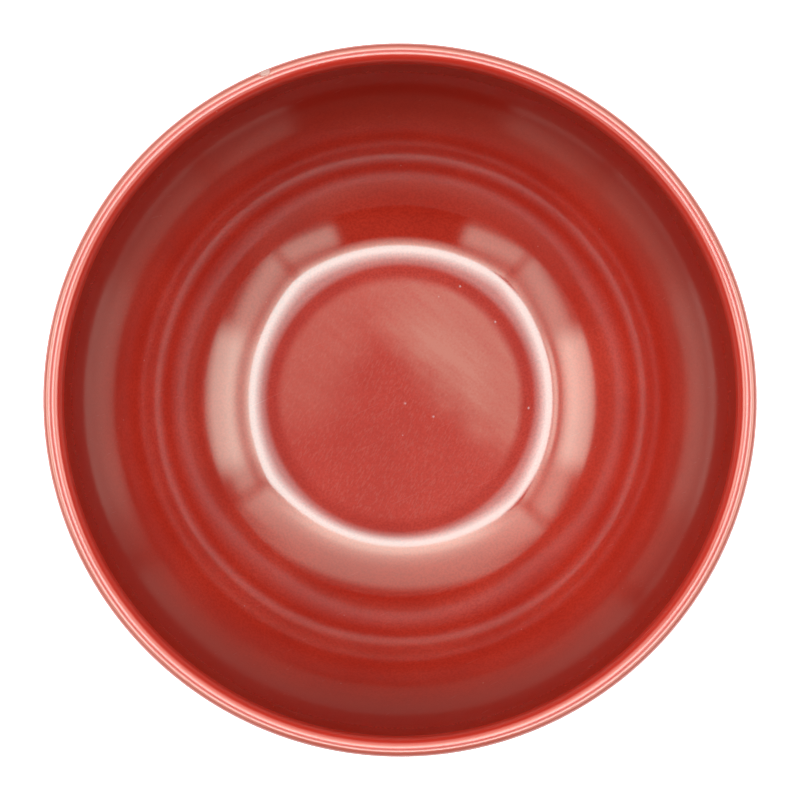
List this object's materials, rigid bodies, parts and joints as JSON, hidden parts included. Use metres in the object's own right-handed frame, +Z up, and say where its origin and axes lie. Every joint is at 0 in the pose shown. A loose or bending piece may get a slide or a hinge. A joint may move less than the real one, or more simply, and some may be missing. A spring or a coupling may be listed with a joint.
{
  "type": "rice bowl",
  "caption": "Round rice bowl in one glossy red moulding, with a curved wall, rounded lip, flat satin inside floor and low foot ring.",
  "frame": {"origin": "on the bowl's axis, in the plane that the foot ring stands on", "axes": "+Z up along the bowl's axis, towards the open mouth; +X and +Y are any two square directions, because the bowl is turned about +Z"},
  "size_m": [0.115, 0.115, 0.0521],
  "materials": {
    "red_melamine": "moulded gloss on the wall and lip, satin on the inside floor, dull on the face of the foot ring"
  },
  "bodies": {
    "root": {"bowl": "red_melamine"}
  },
  "joints": []
}
